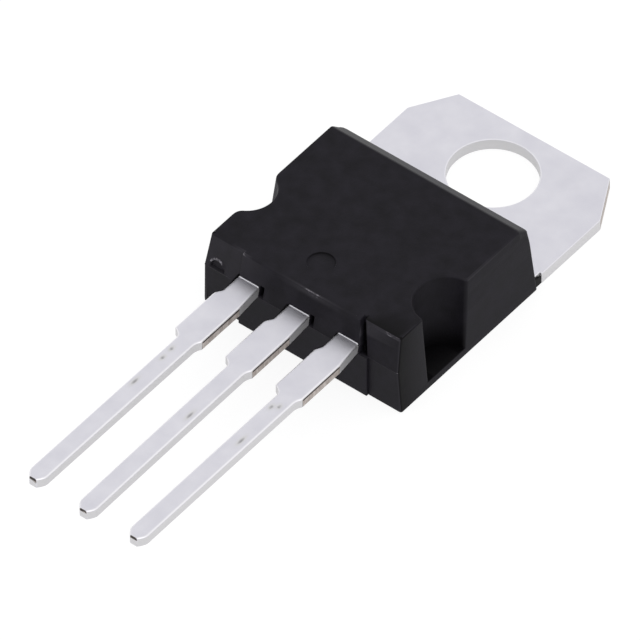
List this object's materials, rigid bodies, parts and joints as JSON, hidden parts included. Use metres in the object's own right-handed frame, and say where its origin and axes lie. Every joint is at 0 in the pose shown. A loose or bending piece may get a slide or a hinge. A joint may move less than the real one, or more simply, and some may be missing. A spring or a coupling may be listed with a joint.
{
  "type": "rectifier diode",
  "caption": "Three-lead plastic power package of a rectifier diode pair, with a thin tinned metal tab, a screw hole and straight flat leads.",
  "frame": {"origin": "centre of the tab's mounting hole, on the back plane of the tab", "axes": "+X to the right seen from the front, +Y from the hole to the free edge of the tab, away from the leads, +Z along the hole out of the front face"},
  "size_m": [0.0102, 0.0288, 0.0037],
  "materials": {
    "epoxy": "black epoxy moulding compound, fine matte, rubbed along the front top edge",
    "tinned_copper": "matte tin plating on copper strip, with bare copper where the dam bars were sheared off",
    "silicon": "dark polished chip",
    "solder": "dull solder",
    "aluminium_wire": "drawn wire, satin"
  },
  "bodies": {
    "root": {"moulded_body": "epoxy", "tab_and_centre_lead": "tinned_copper", "left_lead": "tinned_copper", "right_lead": "tinned_copper", "left_die": "silicon", "right_die": "silicon", "left_die_solder": "solder", "right_die_solder": "solder", "left_bond_wire_1": "aluminium_wire", "left_bond_wire_2": "aluminium_wire", "right_bond_wire_1": "aluminium_wire", "right_bond_wire_2": "aluminium_wire"}
  },
  "joints": []
}
